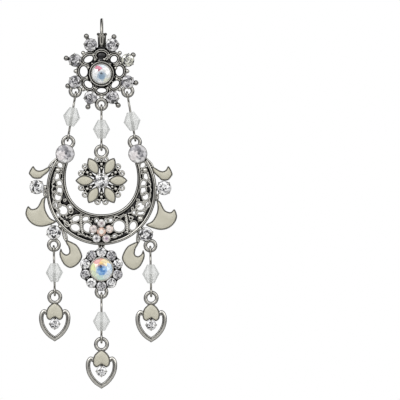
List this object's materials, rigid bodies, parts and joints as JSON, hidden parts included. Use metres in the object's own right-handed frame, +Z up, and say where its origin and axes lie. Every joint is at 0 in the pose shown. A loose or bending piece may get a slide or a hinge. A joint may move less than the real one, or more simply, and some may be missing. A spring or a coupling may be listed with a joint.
{
  "type": "chandelier earring",
  "caption": "Antique silver chandelier earring with a leverback, a jewelled rosette, a flower in a pierced crescent and heart drops.",
  "frame": {"origin": "underside of the ear wire's crown, where the earring hangs from the ear lobe", "axes": "+Z up along the hanging earring, +X to its right as seen from the front, -Y out of its face"},
  "size_m": [0.0349, 0.0093, 0.0852],
  "materials": {
    "antique_silver": "polished",
    "silver_wire": "polished",
    "clear_crystal": "clear",
    "iridescent_crystal": "clear",
    "milky_glass": "satin",
    "cream_enamel": "satin"
  },
  "bodies": {
    "root": {"ear_wire": "silver_wire", "rosette_center_stone": "iridescent_crystal", "rosette_frame": "antique_silver", "rosette_stone_1": "clear_crystal", "rosette_stone_2": "clear_crystal", "rosette_stone_3": "clear_crystal", "rosette_stone_4": "clear_crystal", "rosette_stone_5": "clear_crystal", "rosette_stone_6": "clear_crystal", "rosette_stone_7": "clear_crystal", "rosette_stone_8": "clear_crystal"},
    "lever": {"ear_lever": "silver_wire"},
    "crescent_drop": {"blossom": "iridescent_crystal", "crescent_frame": "antique_silver", "halo": "antique_silver", "halo_center_stone": "iridescent_crystal", "heart_enamel_center": "cream_enamel", "heart_enamel_left": "cream_enamel", "heart_enamel_right": "cream_enamel", "heart_frame_center": "antique_silver", "heart_frame_left": "antique_silver", "heart_frame_right": "antique_silver", "heart_stone_center": "clear_crystal", "heart_stone_left": "clear_crystal", "heart_stone_right": "clear_crystal", "horn_stone_left": "clear_crystal", "horn_stone_right": "clear_crystal", "leaf_left_lower": "cream_enamel", "leaf_left_middle": "cream_enamel", "leaf_left_upper": "cream_enamel", "leaf_right_lower": "cream_enamel", "leaf_right_middle": "cream_enamel", "leaf_right_upper": "cream_enamel", "lower_bead_center": "milky_glass", "lower_bead_left": "milky_glass", "lower_bead_right": "milky_glass", "lower_link_center": "silver_wire", "lower_link_left": "silver_wire", "lower_link_right": "silver_wire", "side_stone_lower_left": "clear_crystal", "side_stone_lower_right": "clear_crystal", "side_stone_upper_left": "clear_crystal", "side_stone_upper_right": "clear_crystal", "upper_bead_left": "milky_glass", "upper_bead_right": "milky_glass", "upper_link_left": "silver_wire", "upper_link_right": "silver_wire"},
    "flower_drop": {"flower_frame": "antique_silver", "flower_petal_1": "cream_enamel", "flower_petal_2": "cream_enamel", "flower_petal_3": "cream_enamel", "flower_petal_4": "cream_enamel", "flower_petal_5": "cream_enamel", "flower_petal_6": "cream_enamel", "flower_stone": "clear_crystal", "upper_bead_center": "milky_glass", "upper_link_center": "silver_wire"}
  },
  "joints": [
    {"name": "lever_hinge", "type": "hinge", "parent": "root", "child": "lever", "pos_m": [0, -0.00045, -0.0116], "axis": [-1, 0, 0], "range_deg": [0, 60]},
    {"name": "crescent_swing", "type": "hinge", "parent": "root", "child": "crescent_drop", "pos_m": [0, -0.0032, -0.01734], "axis": [1, 0, 0], "range_deg": [-45, 45]},
    {"name": "flower_swing", "type": "hinge", "parent": "root", "child": "flower_drop", "pos_m": [0, -0.0032, -0.02037], "axis": [1, 0, 0], "range_deg": [-45, 45]}
  ]
}
